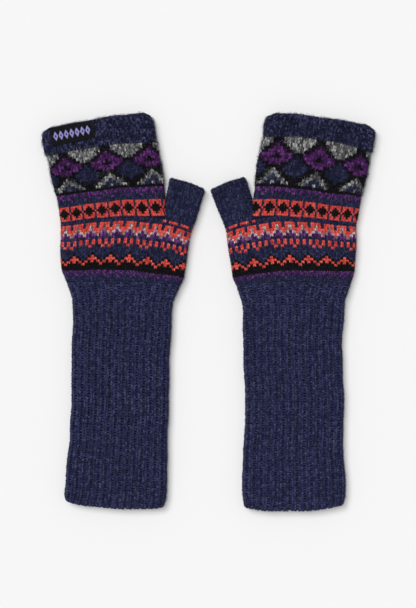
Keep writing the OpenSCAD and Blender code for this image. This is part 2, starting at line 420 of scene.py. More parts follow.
class Tube:
    """A flat tube with a number of columns on each face, through the given rows.

    edge is the row where the cloth turns over, pitch the height in mm of a row past it and wide
    the width of a column. ease gives how far the two creases roll and swell how proud the back
    lies, both by row. peek is how far the palm side shows beyond the edge.
    """

    def __init__(self, glove, rows, columns, edge=None, pitch=2.1, on_arm=False, ease=None,
                 peek=0.0, swell=None, wide=2.6):
        self.glove, self.columns, self.on_arm, self.peek = glove, columns, on_arm, peek
        self.edge, self.pitch, self.swell, self.wide = edge, pitch, swell or {0: 0.0}, wide
        keys = sorted(rows)
        points = [np.array(rows[k], float) for k in keys]
        first = points[0] + (points[0] - points[1]) * BEYOND / (keys[1] - keys[0])
        last = points[-1] + (points[-1] - points[-2]) * BEYOND / (keys[-1] - keys[-2])
        self.keys = [keys[0] - BEYOND, *keys, keys[-1] + BEYOND]
        self.points = np.array([first, *points, last])
        self.ease = ease or {0: (EASE, EASE)}

    def turned_over(self, row, height):
        """Past its edge row, the fabric rolls round the fold and comes back inside."""
        if self.edge is None:
            return row, height
        way = -1 if self.edge < self.keys[2] else 1
        past = (row - self.edge) * way * self.pitch
        roll = np.clip(past / FOLD, 0, math.pi)
        out = (FOLD + height) * np.sin(roll) - np.maximum(past - math.pi * FOLD, 0)
        over = past > 0
        row = np.where(over, self.edge + way * out / self.pitch, row)
        return row, np.where(over, (FOLD + height) * np.cos(roll) - FOLD, height)

    def at(self, column, row, height, face):
        """Points in metres. face is 1 on the back of the hand and -1 on the palm side."""
        row, height = self.turned_over(row, height)
        p = np.stack([[np.interp(row, self.keys, self.points[:, i, k]) for k in (0, 1)]
                      for i in range(4)]).transpose(2, 0, 1)
        width = np.linalg.norm(p[:, 3] - p[:, 0], axis=1) + 1e-9
        left, right = between(self.ease, row, 0), between(self.ease, row, 1)
        roll_left, roll_right = (math.pi / 2 * np.sqrt((e**2 + EASE**2) / 2) for e in (left, right))
        total = roll_left + roll_right + width - 2 * SINK - left - right
        way = column / self.columns * total
        on_left, on_right = way < roll_left, way > total - roll_right
        rolled = np.where(on_right, (total - way) / roll_right, 1)
        angle = np.where(on_left, way / roll_left, rolled) * math.pi / 2
        inset = np.where(on_left, SINK + left * (1 - np.cos(angle)), SINK + left + way - roll_left)
        inset = np.where(on_right, width - SINK - right * (1 - np.cos(angle)), inset)
        t = (inset / width)[:, None]
        curve = ((1 - t) ** 3 * p[:, 0] + 3 * t * (1 - t) ** 2 * p[:, 1]
                 + 3 * t**2 * (1 - t) * p[:, 2] + t**3 * p[:, 3])
        slope = (3 * (1 - t) ** 2 * (p[:, 1] - p[:, 0]) + 6 * t * (1 - t) * (p[:, 2] - p[:, 1])
                 + 3 * t**2 * (p[:, 3] - p[:, 2]))
        slope /= np.linalg.norm(slope, axis=1)[:, None]
        outward = (on_right.astype(float) - on_left) * np.cos(angle)
        curve = curve + slope * (outward * height)[:, None]
        if self.peek:
            near = np.clip(1 - (row - self.edge) / PEEK_ROWS, 0, 1)
            curve[:, 1] += np.where(face < 0, self.peek * t[:, 0] * near, 0)
        swell = np.where(face > 0, np.interp(row, list(self.swell), list(self.swell.values())), 0)
        rise = (EASE + swell + height) * np.sin(angle)
        back = np.where(face > 0, np.sin(angle), 0)
        plan, wave = wander(self.glove.place(curve, self.on_arm), back)
        return np.c_[plan, HEIGHT / 2 + face * rise + wave] * MM


# %% [markdown]
# ## A stitch
# Seen from its right side, a knit stitch is two legs that lean together at one end. Each leg is
# a closed spindle of yarn, thickest in its middle, whose ends dive under the next stitch. The
# hand is worked so that the legs meet towards the fingers, and the ribbed arm the other way
# round. `spindle` makes the closed shape, in millimetres, and `leg` lays one side of a stitch
# along it, with its middle raised and its two ends sunk.

# %% Spindles
def spindle(path, radii, flat, sides=5):
    """Closed tube along path, as (points, triangles, corner map). Radii shrink it at its ends."""
    path = np.array(path, float)
    way = np.gradient(path, axis=0)
    way /= np.linalg.norm(way, axis=1)[:, None]
    side = np.cross(way, (0, 0, 1))
    side /= np.linalg.norm(side, axis=1)[:, None]
    up = np.cross(side, way)
    rings = len(path) - 2
    points, angles = [path[0]], np.arange(sides) * 2 * math.pi / sides + math.pi / 2
    for i in range(1, rings + 1):
        for a in angles:
            out = math.cos(a) * side[i] + flat * math.sin(a) * up[i]
            points.append(path[i] + radii[i - 1] * out)
    points.append(path[-1])
    end = len(points) - 1
    triangles, corners = [], []

    def ring(i, s):
        return 1 + i * sides + s % sides

    for s in range(sides):
        u0, u1 = s / sides, (s + 1) / sides
        triangles.append((0, ring(0, s), ring(0, s + 1)))
        corners.append(((u0 + u1) / 2, 0, u0, 1 / (rings + 1), u1, 1 / (rings + 1)))
        for i in range(rings - 1):
            v0, v1 = (i + 1) / (rings + 1), (i + 2) / (rings + 1)
            triangles.append((ring(i, s), ring(i + 1, s), ring(i + 1, s + 1)))
            corners.append((u0, v0, u0, v1, u1, v1))
            triangles.append((ring(i, s), ring(i + 1, s + 1), ring(i, s + 1)))
            corners.append((u0, v0, u1, v1, u1, v0))
        v0 = rings / (rings + 1)
        triangles.append((ring(rings - 1, s), end, ring(rings - 1, s + 1)))
        corners.append((u0, v0, (u0 + u1) / 2, 1, u1, v0))
    return np.array(points), np.array(triangles), np.array(corners).reshape(-1, 3, 2)


def leg(low, high, radius, rise, dive, flat=0.8, bow=0.0):
    """One leg from its low end to its high end, in mm across and along the row."""
    t = np.array([0, 0.13, 0.37, 0.63, 0.87, 1])
    low, high = np.array(low), np.array(high)
    path = np.c_[low + (high - low) * t[:, None], rise - dive * (2 * t - 1) ** 2]
    path[:, 0] += bow * np.sin(t * math.pi)
    radii = radius * np.array([0.62, 1.0, 1.0, 0.62])
    return spindle(path, radii, flat)


HAND_PITCH = (2.6, 2.4)
HAND_LEG = leg((-1.18, -0.45), (-0.22, 2.75), 0.70, 0.25, 0.95, bow=-0.10)
FINE_PITCH = (1.73, 2.4)
FINE_LEG = leg((-0.80, -0.35), (-0.15, 2.05), 0.50, 0.25, 0.80, bow=-0.07)
RIB_PITCH = (5.95, 2.19)
RIB_LEG = leg((-0.22, -0.95), (-1.85, 1.9), 0.98, 0.40, 0.9, bow=-0.16)
PURL_BAR = spindle([(-1.6, 0, -1.1), (-1.0, 0.25, -0.75), (-0.35, 0.4, -0.62), (0.35, 0.4, -0.62),
                    (1.0, 0.25, -0.75), (1.6, 0, -1.1)], [0.6, 0.8, 0.8, 0.6], 0.8)
print("a leg has", len(HAND_LEG[1]), "triangles")

# %% [markdown]
# A band has thousands of stitches. An object for each would be slow to draw and to bend, and
# making faces one by one in Python is slow as well. `Knitting` gathers the stitches as numpy
# arrays and writes them into one mesh at once. Its first map gives every leg a small square of
# its own and every hair a smaller one, so that a finish can be painted there without overlaps.

# %% Collecting stitches into one mesh
MAP = 1024
LEG_CELL, FIBRE_CELL = 64, 5
# The share of the map that legs and hairs may fill, and the strip above it for the skins.
FILLED, STRIP_HEIGHT, STRIP_FOOT = 0.94, 0.05, 0.945
# One leg, and one skin, in the noise's millimetres, and how far apart two legs lie in the noise.
LEG_GRAIN, SKIN_GRAIN, APART = (4.0, 4.0), (90, 30), 80


def rows_of_cells(count, size):
    """The height of map that so many square cells take up."""
    return math.ceil(count / (MAP // size)) * size


class Knitting:
    """Yarn shapes that share one mesh, with a map for each leg."""

    def __init__(self):
        self.lots = []

    def add(self, points, shape, turn, yarns, cell):
        """Takes copies of a shape, in metres. turn is True where a copy is mirrored."""
        numbers = rng.random((len(points), 2))
        self.lots.append((points, shape[1], shape[2], turn, yarns, numbers, cell))

    def build(self, name):
        letters = sorted({yarn for lot in self.lots for yarn in lot[4]})
        legs, fibres = (sum(len(lot[0]) for lot in self.lots if lot[6] == cell)
                        for cell in ("leg", "fibre"))
        size = {"leg": LEG_CELL, "fibre": FIBRE_CELL}
        while rows_of_cells(legs, size["leg"]) + rows_of_cells(fibres, FIBRE_CELL) > MAP * FILLED:
            size["leg"] -= 1
        floor = {"leg": 0, "fibre": rows_of_cells(legs, size["leg"])}
        done = {"leg": 0, "fibre": 0}
        verts, tris, maps, yarn_maps, leg_maps, slots = [], [], [], [], [], []
        start = 0
        for points, triangles, corners, turn, yarns, numbers, cell in self.lots:
            n, v = points.shape[:2]
            faces = triangles[None] + (start + np.arange(n) * v)[:, None, None]
            spots = np.broadcast_to(corners[None], (n, *corners.shape)).copy()
            faces[turn] = faces[turn][:, :, ::-1]
            spots[turn] = spots[turn][:, :, ::-1]
            if cell == "sheet":
                own = spots * (1, STRIP_HEIGHT) + (0, STRIP_FOOT)
                yarn = spots * SKIN_GRAIN
            else:
                s = size[cell]
                per = MAP // s
                index = done[cell] + np.arange(n)
                done[cell] += n
                at = np.stack([index % per * s, floor[cell] + index // per * s], 1)[:, None, None]
                margin = 1 if cell == "leg" else 0.5
                own = (at + margin + spots * (s - 2 * margin)) / MAP
                yarn = spots * LEG_GRAIN + (numbers * APART)[:, None, None]
            verts.append(points.reshape(-1, 3))
            tris.append(faces.reshape(-1, 3))
            maps.append(own.reshape(-1, 2))
            yarn_maps.append(yarn.reshape(-1, 2))
            leg_maps.append(np.broadcast_to(numbers[:, None, None], own.shape).reshape(-1, 2))
            slots.append(np.repeat([letters.index(y) for y in yarns], len(triangles)))
            start += n * v
        verts, tris = np.concatenate(verts), np.concatenate(tris)
        mesh = bpy.data.meshes.new(name)
        mesh.vertices.add(len(verts))
        mesh.vertices.foreach_set("co", verts.astype(np.float32).ravel())
        mesh.loops.add(tris.size)
        mesh.loops.foreach_set("vertex_index", tris.astype(np.int32).ravel())
        mesh.polygons.add(len(tris))
        mesh.polygons.foreach_set("loop_start", np.arange(0, tris.size, 3, dtype=np.int32))
        mesh.polygons.foreach_set("material_index", np.concatenate(slots).astype(np.int32))
        mesh.polygons.foreach_set("use_smooth", np.ones(len(tris), bool))
        for title, values in (("OFBake", maps), ("Yarn", yarn_maps), ("Leg", leg_maps)):
            layer = mesh.uv_layers.new(name=title)
            layer.data.foreach_set("uv", np.concatenate(values).astype(np.float32).ravel())
        for letter in letters:
            mesh.materials.append(YARNS[letter])
        mesh.update()
        mesh.validate()
        piece = bpy.data.objects.new(name, mesh)
        scene.collection.objects.link(piece)
        print(f"{name}: {len(tris)} triangles, {legs} legs, {fibres} fibres")
        return piece


# %% [markdown]
# `set_shapes` puts copies of one shape at many places of a tube. Each copy is moved and
# fattened a little at random, and its points go through the tube's curves one by one, so a
# stitch bends with the crease or the hem that it sits on. `knit` does this for a whole band,
# two legs a stitch, in the yarns of its chart.

# %% Setting shapes on a tube
# How far a copy may differ: its size, as a share, and its place across, along and in height in mm.
UNEVEN, ASTRAY = 0.05, (0.07, 0.10, 0.06)


def stitches(rows, columns):
    """The row, column and face of each stitch. face is 1 on the back, -1 on the palm side."""
    grid = np.meshgrid(np.arange(*rows), np.arange(*columns), (1, -1), indexing="ij")
    return [a.ravel() for a in grid]


def dyed(chart, row, column, face):
    """The chart's yarn at each place. The palm side's columns run on from the back's first."""
    around = np.where(face > 0, column, -1 - column)
    return [chart(math.floor(r), math.floor(c)) for r, c in zip(row, around)]


def set_shapes(knitting, tube, shape, pitch, column, row, face, yarns, mirror, loose, lift):
    """Sets one copy of shape at each place. mirror is -1 where it is flipped across."""
    n = len(column)
    local = np.broadcast_to(shape[0][None], (n, *shape[0].shape)).copy()
    middle = local.mean(1, keepdims=True)
    local = middle + (local - middle) * (1 + rng.normal(0, UNEVEN * loose, (n, 1, 3)))
    local += rng.normal(0, 1, (n, 1, 3)) * [far * loose for far in ASTRAY]
    local[:, :, 2] += lift[:, None]
    x = local[:, :, 0] * mirror[:, None] / pitch[0]
    y = local[:, :, 1] / pitch[1]
    flat = [np.broadcast_to(a[:, None], x.shape).ravel() for a in (column, row, face)]
    points = tube.at(flat[0] + x.ravel(), flat[1] - y.ravel(), local[:, :, 2].ravel(), flat[2])
    turn = mirror * face * tube.glove.sign < 0
    knitting.add(points.reshape(n, -1, 3), shape, turn, yarns, "leg")


def knit(knitting, tube, rows, columns, chart, shape=HAND_LEG, pitch=HAND_PITCH, loose=1.0,
         tall=1.0, proud=0.0):
    """Knit stitches on both faces, from the first row and column up to the second ones.

    tall is the height of one chart row in rows of the tube, under 1 for finer knitting. The black
    stitches stand proud of the others by that many millimetres.
    """
    row, column, face = stitches(rows, columns)
    yarns = dyed(chart, row, column, face)
    foot = rows[0] + (row + 1.0 - rows[0]) * tall
    lift = np.array([proud if yarn == "k" else 0.0 for yarn in yarns])
    for mirror in (1, -1):
        set_shapes(knitting, tube, shape, pitch, column + 0.5, foot, face,
                   yarns, np.full(len(row), mirror), loose, lift)
    filling(knitting, tube, rows, columns, chart, tall=tall)


# %% [markdown]
# Behind the stitches lies the cloth's own body: the backs of the loops and the yarns carried
# behind them. Here that is a plain skin just under the stitches and a lining inside, both in a
# navy darkened as painted shade, for the shade that falls between and under the stitches. Between
# the skin and the stitches lie patches in the stitches' own colours, so that no dark gap shows
# inside a motif.

# %% Backing cloth
# Heights in mm above the middle of the yarns.
SKIN, LINING, PATCH = -0.62, -2.35, -0.35


def backing(knitting, tube, rows, columns, heights=(SKIN, LINING), dent=None):
    """A skin under the stitches and a lining inside. dent makes the skin follow a rib."""
    for face in (1, -1):
        for height in heights:
            outside = height == SKIN
            finely = 4 * (columns[1] - columns[0]) + 1 if dent else 45
            across = np.linspace(*columns, finely)
            down = np.linspace(*rows, max(3, int((rows[1] - rows[0]) * 1.5)))
            c, r = np.meshgrid(across, down)
            h = np.full(c.size, height) + (dent(c.ravel()) if dent and outside else 0)
            points = tube.at(c.ravel(), r.ravel(), h, np.full(c.size, face))
            nc, nr = len(across), len(down)
            i, j = (a.ravel() for a in np.meshgrid(np.arange(nc - 1), np.arange(nr - 1)))
            a, b, d, e = j * nc + i, j * nc + i + 1, (j + 1) * nc + i, (j + 1) * nc + i + 1
            triangles = np.concatenate([np.c_[a, d, b], np.c_[b, d, e]])
            spot = np.c_[np.tile(np.linspace(0, 1, nc), nr), np.repeat(np.linspace(0, 1, nr), nc)]
            turn = np.array([face * tube.glove.sign * (1 if outside else -1) < 0])
            shape = (None, triangles, spot[triangles])
            # Skin and lining take the darker navy c, painted shade for the shade between and under
            # the stitches.
            knitting.add(points[None], shape, turn, ["c"], "sheet")


def filling(knitting, tube, rows, columns, chart, height=PATCH, tall=1.0, span=(0.0, 1.0)):
    """A patch under each stitch in the stitch's own colour, over a span of the stitch's width."""
    row, column, face = stitches(rows, columns)
    yarns = dyed(chart, row, column, face)
    left, right = span
    x, y = np.array([(left + (right - left) * i / 2, j) for j in (0, 1) for i in range(3)]).T
    place = rows[0] + (row[:, None] + y - rows[0]) * tall
    points = tube.at((column[:, None] + x).ravel(), place.ravel(),
                     np.full(len(row) * 6, height), np.repeat(face, 6))
    triangles = np.array([(0, 3, 1), (1, 3, 4), (1, 4, 2), (2, 4, 5)])
    shape = (None, triangles, np.c_[x, y][triangles])
    knitting.add(points.reshape(-1, 6, 3), shape, face * tube.glove.sign < 0, yarns, "sheet")


# %% [markdown]
# ## Loose fibre
# Woollen yarn is never clean: short fibres stand off every stitch and soften the outline. Each
# is a thin closed hair with a bend in it, set at random over the cloth.

# %% Halo
HAIR = spindle([(0, 0, 0), (0, 0.25, 0), (0, 0.5, 0), (0, 0.75, 0), (0, 1, 0)],
               [0.07, 0.06, 0.045], 1.0, sides=3)
BACK_SHARE = 0.62
HAIR_FOOT = 0.45
# The spread of the hairs' lengths and lifts, how much they curl, and how far round they arch.
LENGTHS, LIFTS, CURL, ARCH = (0.5, 1.5), (0.1, 1.3), 1.1, 2.2


def halo(knitting, tube, rows, columns, count, chart, length=2.4, lift=0.8, lean=None, tall=1.0):
    """Hairs in the colours of the stitches that they grow from.

    lean is how far they stray from pointing at the fingers, in radians. Without it they point
    every way.
    """
    column = rng.uniform(*columns, count)
    row = rng.uniform(*rows, count)
    face = np.where(rng.random(count) < BACK_SHARE, 1, -1)
    along = HAIR[0][:, 1]
    size = length * rng.uniform(*LENGTHS, count)[:, None]
    if lean is None:
        start = rng.uniform(0, 2 * math.pi, count)
    else:
        start = rng.normal(math.pi / 2, lean, count)
    heading = start[:, None] + rng.normal(0, CURL, count)[:, None] * along
    x = HAIR[0][:, 0] * np.sin(heading) + size * along * np.cos(heading)
    y = HAIR[0][:, 0] * np.cos(heading) + size * along * np.sin(heading)
    arch = lift * rng.uniform(*LIFTS, count)[:, None] * np.sin(along * ARCH)
    z = HAIR_FOOT + HAIR[0][:, 2] + arch
    at_column, at_row = column[:, None] + x / tube.wide, row[:, None] - y / HAND_PITCH[1]
    points = tube.at(at_column.ravel(), at_row.ravel(), z.ravel(), np.repeat(face, len(along)))
    yarns = dyed(chart, rows[0] + (row - rows[0]) / tall, column, face)
    knitting.add(points.reshape(count, -1, 3), HAIR, face * tube.glove.sign < 0, yarns, "fibre")


# %% [markdown]
# ## The charts
# A stranded pattern is written as a chart, one letter a stitch: n navy, k black, o orange,
# p purple, g grey and l light grey. The charts here read from the fingers down. Diamonds and
# peaks are mirror images about their middle stitch, so only half of each row is written, from
# the middle outwards. The two narrow bands, ticks and crosses, are worked at a finer gauge than
# the rest: a small motif needs more stitches to keep its shape.

# %% Charts
DIAMONDS = """kkggggg kkggggg pkkgggg ppkkggg pppkkgg kppppkk kkpppkn ppppknn
              ppkknnn kkknnnn gkknnnn ggkknnn nggkkkn nnggkkk gnnggkk kkkkkkk""".split()
PEAKS = "knnn oknn ookn okok kkko kkkk kkkk".split()
ZIGZAG = "ooon ogon oloo lplo pppl pnnn".split()
DOTS = ["no", "no", "onnnononnnnn"]
TICKS = "ppn pnp pnn npnnnn n n".split()
CROSSES = "ooooon ookoon okkkon kkkkko okkkon ookoon ooooon".split()
DASHES = "ooon"


def mirrored(half):
    """A repeat from half a motif, which starts at its middle stitch."""
    return half + half[-2:0:-1]


# The wide bands: their first row, their chart, and the stitch of it that each glove starts on.
BANDS = ((DIAMOND_ROW, [mirrored(half) for half in DIAMONDS], {"left": 7, "right": 9}),
         (27, ZIGZAG, {"left": 3, "right": 0}),
         (33, DOTS, {"left": 2, "right": 4}),
         (38, [mirrored(half) for half in PEAKS], {"left": 1, "right": 2}))
CROSS_START = {"left": 5, "right": 2}
TICK_START, WRIST_TICK_START, DASH_START = 0, 1, 2


def hand_chart(side):
    """The chart of one glove's wide bands, with plain navy between them."""
    def chart(row, column):
        for first, lines, start in BANDS:
            if first <= row < first + len(lines):
                line = lines[row - first]
                return line[(column + start[side]) % len(line)]
        return "n"
    return chart


def fine_chart(lines, first, start):
    """A chart for one narrow band, whose first line is worked in the given row."""
    def chart(row, column):
        line = lines[min(max(row - first, 0), len(lines) - 1)]
        return line[(column + start) % len(line)]
    return chart


def plain(row, column):
    return "n"


def brushed(row, column):
    return "b"


def ribbed(row, column):
    return "r"


for first, lines, _ in BANDS:
    print("rows", first, "to", first + len(lines) - 1, "repeat every", len(lines[-1]), "stitches")

# %% [markdown]
# ## Bands and joints
# Each glove is knitted band by band, as the imported model divides it. A band that crosses a
# joint keeps its place and is not joined to either body, and the rest ride on one. A rigid split
# at a joint would be simpler, but it would show as a gap in the cloth.

# %% Making a piece
JOINTS = {j["name"]: j for j in frame["record"]["behaviour"]["joints"]}
# Each joint's name, and two spans before and after its hinge, in mm.
KNUCKLE = ("knuckle_fold", 7.5, 7.5)
THUMB = ("thumb_fold", 4, 6)
WRIST = ("wrist_fold", 12, 12)


def bend(piece, side, joint, before, after):
    """Works out the joint's hinge and the span from before it to after it on the child's side, then
    only fixes the piece's place into its points; the piece is not bent.
    """
    facts = JOINTS[f"{side}_{joint}"]
    hinge, axis = np.array(facts["pos_m"]), np.array(facts["axis"])
    onward = np.cross((0, 0, 1), axis)
    # The arm lies towards -y from its hinge, the fingers and the thumb towards +y.
    way = -1 if joint == "wrist_fold" else 1
    onward = onward if onward[1] * way > 0 else -onward
    start, end = hinge - onward * before * MM, hinge + onward * after * MM
    tuple(start)
    tuple(end)
    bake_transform(piece)


def place_piece(knitting, side, name, stands_for, body=None, joint=None):
    piece = knitting.build(f"{side}_{name}")
    if joint:
        bend(piece, side, *joint)
    else:
        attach(piece, f"{side}_{body}")
    if stands_for:
        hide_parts(f"{side}_{stands_for}")


# %% [markdown]
# ## The hands
# The finger hem is brushed, so its stitches are looser and its fuzz longer. It is a little wider
# than the band below and turns over at the top, where nine rows run back inside. The diamond
# band is brushed too, with hairs that mostly point at the fingers and blur the diamonds' edges.

# %% Hem and diamond band
HAND_COLUMNS, HEM_COLUMNS = 33, 36
HEM_SWELL = {HEM_EDGE: 0.5, -1.0: 0.75, 0.0: 0.0}
HEM_PEEK = {"left": 1.4, "right": 0.0}
HEM_HAIRS, DIAMOND_HAIRS = 4200, 5550
# The hem's lining starts below its turned rows.
HEM_LINING = HEM_EDGE + 7


def finger_hem(side, shape):
    hem = Tube(GLOVES[side], shape, HEM_COLUMNS, edge=HEM_EDGE, pitch=2.2, peek=HEM_PEEK[side],
               swell=HEM_SWELL)
    cloth, columns = Knitting(), (0, HEM_COLUMNS)
    knit(cloth, hem, (HEM_EDGE - TURNED, 0), columns, brushed, loose=2.0)
    backing(cloth, hem, (HEM_EDGE - TURNED, 1), columns, heights=(SKIN,))
    backing(cloth, hem, (HEM_LINING, 1), columns, heights=(LINING,))
    halo(cloth, hem, (HEM_EDGE - FUZZY, 0), columns, HEM_HAIRS, brushed, length=3.2, lift=1.5)
    place_piece(cloth, side, "finger_hem_knit", "finger_hem", body="fingers")


def diamond_band(side, shape):
    hand = Tube(GLOVES[side], shape, HAND_COLUMNS)
    cloth, columns, chart = Knitting(), (0, HAND_COLUMNS), hand_chart(side)
    knit(cloth, hand, (DIAMOND_ROW, TICK_ROW), columns, chart, loose=1.6)
    backing(cloth, hand, (DIAMOND_ROW - 1, TICK_ROW + 1), columns)
    halo(cloth, hand, (DIAMOND_ROW, TICK_ROW), columns, DIAMOND_HAIRS, chart, length=4.2, lift=1.5,
         lean=0.8)
    place_piece(cloth, side, "diamond_band_knit", "diamond_band", joint=KNUCKLE)


# %% [markdown]
# The ticks and crosses are narrow bands with small motifs. Their stitches are two thirds as wide
# as the others, on tubes with more columns, and a chart's lines share out the rows between two
# bands. The crosses' black stitches stand a little proud, which keeps them crisp.

# %% Narrow bands
TICK_COLUMNS, CROSS_COLUMNS = 48, 51
TICK_HAIRS, CROSS_HAIRS = 1300, 1800
CROSS_PROUD = 0.4
# How far the glove's two creases roll: the right one tightens where the thumb starts.
TIGHT = 0.3
CREASES = {0: (EASE, EASE), CROSS_ROW: (EASE, EASE), PALM_ROW: (EASE, TIGHT)}


def knit_fine(knitting, tube, rows, columns, lines, start, proud=0.0):
    """Works a fine chart's lines between two rows. Gives the chart and the height of a line."""
    chart, tall = fine_chart(lines, rows[0], start), (rows[1] - rows[0]) / len(lines)
    knit(knitting, tube, (rows[0], rows[0] + len(lines)), columns, chart, FINE_LEG, FINE_PITCH,
         loose=1.1, tall=tall, proud=proud)
    return chart, tall


def knuckle_band(side, shape):
    tick = Tube(GLOVES[side], shape, TICK_COLUMNS, wide=FINE_PITCH[0])
    cloth, rows, columns = Knitting(), (TICK_ROW, CROSS_ROW), (0, TICK_COLUMNS)
    chart, tall = knit_fine(cloth, tick, rows, columns, TICKS, TICK_START)
    backing(cloth, tick, rows, columns)
    halo(cloth, tick, rows, columns, TICK_HAIRS, chart, length=2.0, tall=tall)
    place_piece(cloth, side, "knuckle_band_knit", "knuckle_band", joint=KNUCKLE)


def cross_band(side, shape):
    cross = Tube(GLOVES[side], shape, CROSS_COLUMNS, ease=CREASES, wide=FINE_PITCH[0])
    cloth, rows, columns = Knitting(), (CROSS_ROW, PALM_ROW), (0, CROSS_COLUMNS)
    chart, tall = knit_fine(cloth, cross, rows, columns, CROSSES, CROSS_START[side], CROSS_PROUD)
    backing(cloth, cross, (CROSS_ROW - 1, PALM_ROW + 1), columns)
    halo(cloth, cross, rows, columns, CROSS_HAIRS, chart, length=1.8, tall=tall)
    place_piece(cloth, side, "cross_band_knit", None, joint=KNUCKLE)


# %% [markdown]
# Below the thumb's crotch the tube widens. One tube makes both the palm's bands and the thumb's
# gusset, so that the motifs run on without a step. The gusset's first row has orange dashes.

# %% Palm and gusset
PALM_COLUMNS, GUSSET_FROM = 43, 33
PALM_HAIRS = 5200
PALM_PARTS = (("palm_bands", (0, GUSSET_FROM)), ("thumb_gusset", (GUSSET_FROM, PALM_COLUMNS)))


def palm_chart(side):
    """The palm's chart, with the thumb's dashes carried on across the gusset."""
    chart = hand_chart(side)

    def with_dashes(row, column):
        place = column if column >= 0 else -1 - column
        if row == PALM_ROW and place >= GUSSET_FROM - 1:
            return DASHES[(place + DASH_START) % len(DASHES)]
        return chart(row, column)
    return with_dashes


def palm_and_gusset(side, shape):
    palm, rows = Tube(GLOVES[side], shape, PALM_COLUMNS), (PALM_ROW, WRIST_TICK_ROW)
    for name, columns in PALM_PARTS:
        cloth, chart = Knitting(), palm_chart(side)
        share = (columns[1] - columns[0]) / PALM_COLUMNS
        knit(cloth, palm, rows, columns, chart, loose=1.2)
        backing(cloth, palm, rows, columns)
        halo(cloth, palm, rows, columns, int(PALM_HAIRS * share), chart, length=2.0)
        place_piece(cloth, side, f"{name}_knit", name, body="hand")


for side in SIDES:
    hand_rows, palm_rows, _ = rows_of(side)
    finger_hem(side, hand_rows)
    diamond_band(side, hand_rows)
    knuckle_band(side, hand_rows)
    cross_band(side, hand_rows)
    palm_and_gusset(side, palm_rows)

# %% [markdown]
# ## The thumbs
# The thumb is a small tube of plain navy that grows from the gusset and ends in a short hem.

# %% Thumbs
THUMB_COLUMNS = 14
THUMB_PARTS = (("thumb_join", (-2, 0)), ("thumb_tube", (-10, -2)), ("thumb_hem", (-18, -10)))
THUMB_CREASES = {THUMB_EDGE: (EASE, EASE), -6: (EASE, EASE), 0: (TIGHT, EASE)}
THUMB_SWELL = {THUMB_EDGE: 0.45, -10: 0.45, -9.7: 0.0}
THUMB_PEEK = {"left": 0.9, "right": 0.0}
HAIRS_A_ROW = 70
# How far the join's skin runs on under the gusset, in rows.
OVERLAP = 1.2
for side, glove in GLOVES.items():
    thumb = Tube(glove, rows_of(side)[2], THUMB_COLUMNS, edge=THUMB_EDGE, pitch=2.4,
                 ease=THUMB_CREASES, swell=THUMB_SWELL, peek=THUMB_PEEK[side])
    for name, rows in THUMB_PARTS:
        cloth, columns = Knitting(), (0, THUMB_COLUMNS)
        knit(cloth, thumb, rows, columns, plain)
        under = (rows[0], rows[1] + (OVERLAP if name == "thumb_join" else 0))
        heights = (SKIN,) if name == "thumb_hem" else (SKIN, LINING)
        backing(cloth, thumb, under, columns, heights)
        halo(cloth, thumb, (max(rows[0], THUMB_EDGE - 1), rows[1]), columns,
             HAIRS_A_ROW * (rows[1] - rows[0]), plain)
        place_piece(cloth, side, f"{name}_knit", name, joint=THUMB)

# %% [markdown]
# ## The arms
# The arm is a rib: columns of knit stitches stand up, and the purl columns between them sink
# into narrow valleys. The valley shows the small bars that run across between two columns. Near
# the wrist the rib fades into the flat bands: its legs sink there and its bars rise.

# %% Rib
RIB_COLUMNS = 15
FADE_ROWS = 14
LEG_SINK, BAR_LIFT, BAR_RISE = 0.3, 0.15, 0.6
# The patches in the valleys: their height in mm, and the part of a column that they cover.
VALLEY_PATCH, VALLEY_SPAN = 0.40, (0.37, 0.63)


def valley(column):
    return -0.4 * (1 + np.cos(2 * math.pi * column))


def rib(knitting, tube, rows):
    row, column, face = stitches(rows, (0, RIB_COLUMNS))
    yarns = ["r"] * len(row)
    fade = np.clip(1 - (row - WRIST_ROW) / FADE_ROWS, 0, 1)
    for mirror in (1, -1):
        set_shapes(knitting, tube, RIB_LEG, RIB_PITCH, column + 0.5, row + 1.0, face, yarns,
                   np.full(len(row), mirror), loose=1.4, lift=-LEG_SINK * fade)
    set_shapes(knitting, tube, PURL_BAR, RIB_PITCH, column, row + 0.6, face, yarns,
               np.ones(len(row)), loose=1.5, lift=BAR_LIFT + BAR_RISE * fade)
    filling(knitting, tube, rows, (0, RIB_COLUMNS), plain, height=VALLEY_PATCH, span=VALLEY_SPAN)


# %% [markdown]
# The wrist band is half palm and half arm: a last row of ticks on the palm's tube, then the
# first rows of rib. The long rib is knitted in two lengths, which keeps each mesh light.

